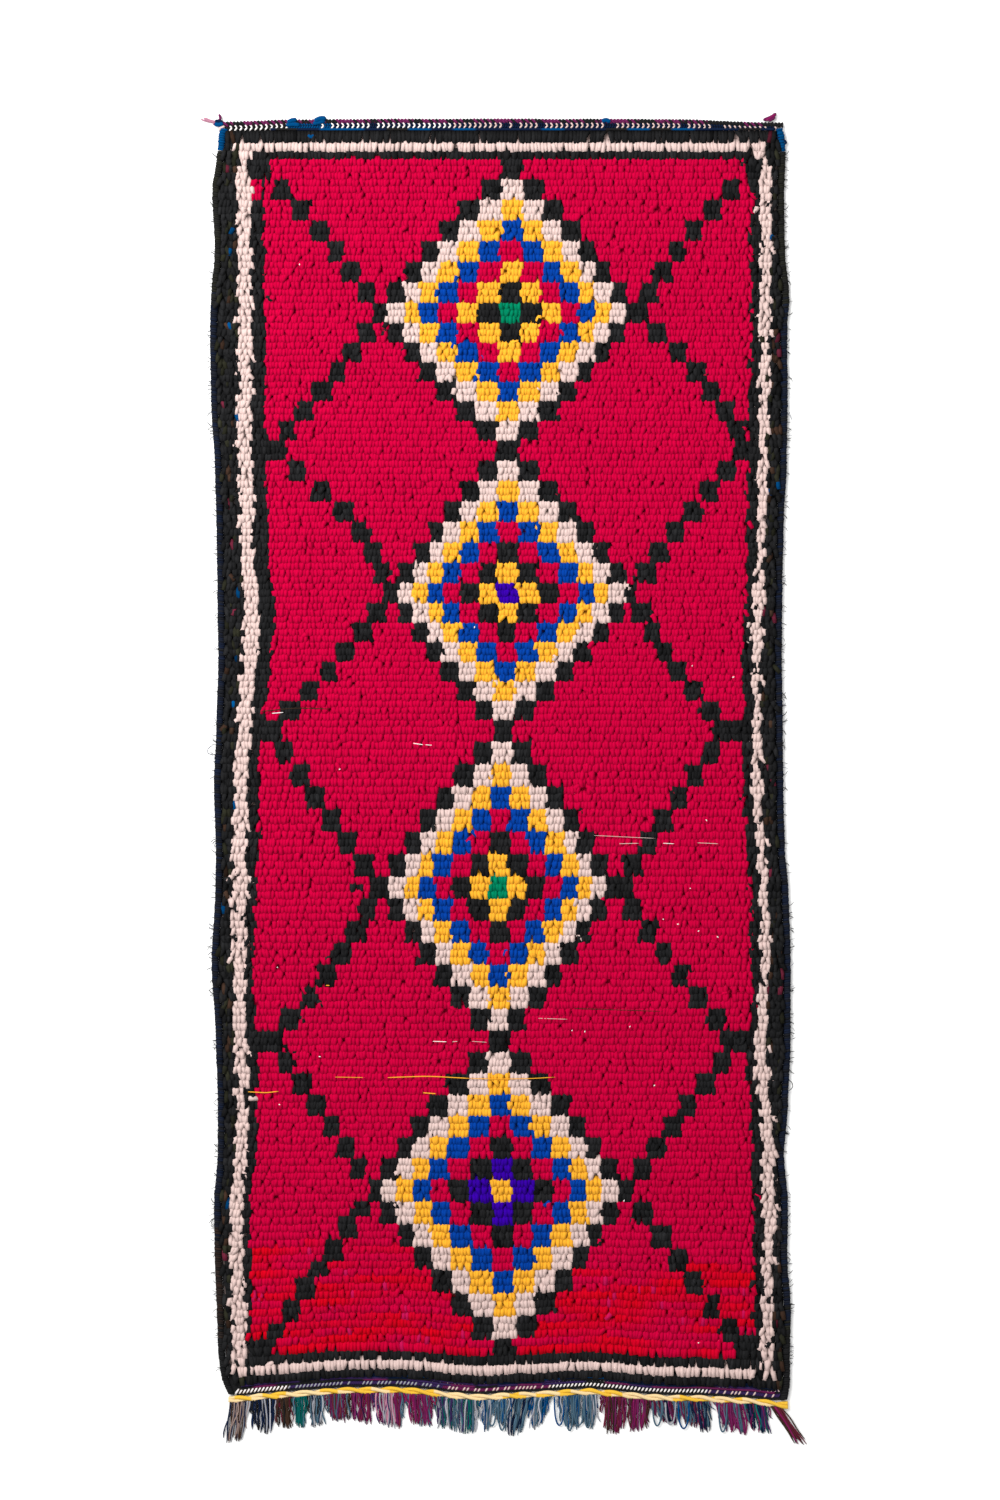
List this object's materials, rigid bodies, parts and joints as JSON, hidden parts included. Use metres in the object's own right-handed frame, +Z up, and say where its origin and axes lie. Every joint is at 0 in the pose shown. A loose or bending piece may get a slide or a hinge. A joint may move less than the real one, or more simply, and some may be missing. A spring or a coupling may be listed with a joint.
{
  "type": "boucherouite rug",
  "caption": "Long hand-knotted pile rug lying flat, with a lozenge lattice, overcast sides, corded ends and a fringe along one end.",
  "frame": {"origin": "bottom centre of the whole rug, fringe and yarn ends included", "axes": "+Y along the length towards the twined end without fringe, +X across the width, +Z up from the floor through the pile"},
  "size_m": [1.2331, 2.7226, 0.015],
  "materials": {
    "pile_crimson": "crimson yarn pile",
    "pile_black": "black yarn pile",
    "pile_cream": "pinkish cream yarn pile",
    "pile_yellow": "yellow yarn pile",
    "pile_blue": "blue yarn pile",
    "pile_green": "green yarn pile",
    "pile_violet": "violet yarn pile",
    "foundation": "woven foundation of warp and weft yarn",
    "selvedge_yarn": "navy and black overcast yarn",
    "corner_yarn": "blue overcast yarn",
    "top_cord_yarn": "plum and black twisted cord",
    "bottom_cord_yarn": "gold and cream twisted cord",
    "twining_yarn": "white and navy twined yarn",
    "fringe_yarn": "loose dyed warp yarn",
    "tie_yarn": "plum yarn ends"
  },
  "bodies": {
    "root": {"rug_body": "pile_crimson", "selvedge_left": "selvedge_yarn", "selvedge_right": "selvedge_yarn", "corner_wrap_left": "corner_yarn", "corner_wrap_right": "corner_yarn", "top_end_cord": "top_cord_yarn", "bottom_end_cord": "bottom_cord_yarn", "fringe": "fringe_yarn", "corner_tie_left": "tie_yarn", "corner_tie_right": "tie_yarn"}
  },
  "joints": []
}
